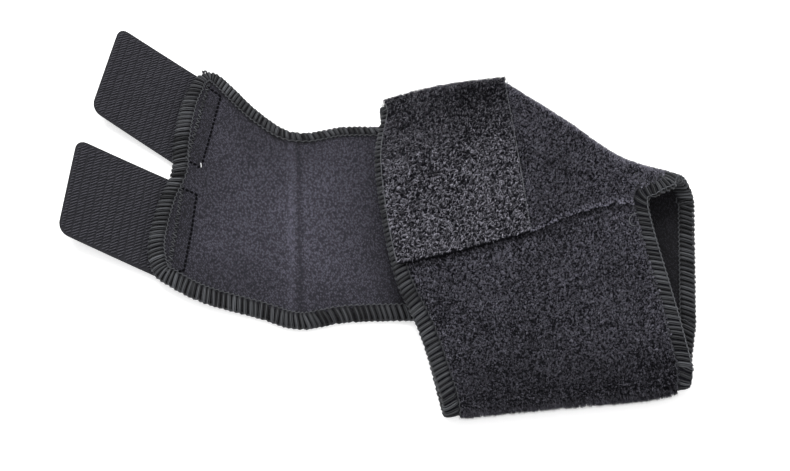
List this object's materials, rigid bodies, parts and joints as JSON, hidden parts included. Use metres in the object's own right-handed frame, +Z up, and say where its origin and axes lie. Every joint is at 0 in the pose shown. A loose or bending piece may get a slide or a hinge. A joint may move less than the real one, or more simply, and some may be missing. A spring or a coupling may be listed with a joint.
{
  "type": "ankle brace",
  "caption": "Soft wrap brace lying flat: a folded open-ended sleeve with a loop-pile patch, and a wide strap ending in hook tabs that fasten round the ankle.",
  "frame": {"origin": "middle of the footprint, on the surface that the brace lies on", "axes": "+Z up from the surface; the strap and its tabs run to -X; the far fold of the sleeve lies towards +Y"},
  "size_m": [0.2756, 0.194, 0.0174],
  "materials": {
    "plush_neoprene": "black plush outer face and smooth jersey inner face over neoprene foam",
    "loop_pile": "coarse matt black loop pile",
    "hook_tape": "black hook tape, slightly glossy"
  },
  "bodies": {
    "root": {"wrap_panel": "plush_neoprene", "sole_panel": "plush_neoprene", "loop_patch": "loop_pile", "hook_tab_upper": "hook_tape", "hook_tab_lower": "hook_tape"}
  },
  "joints": []
}
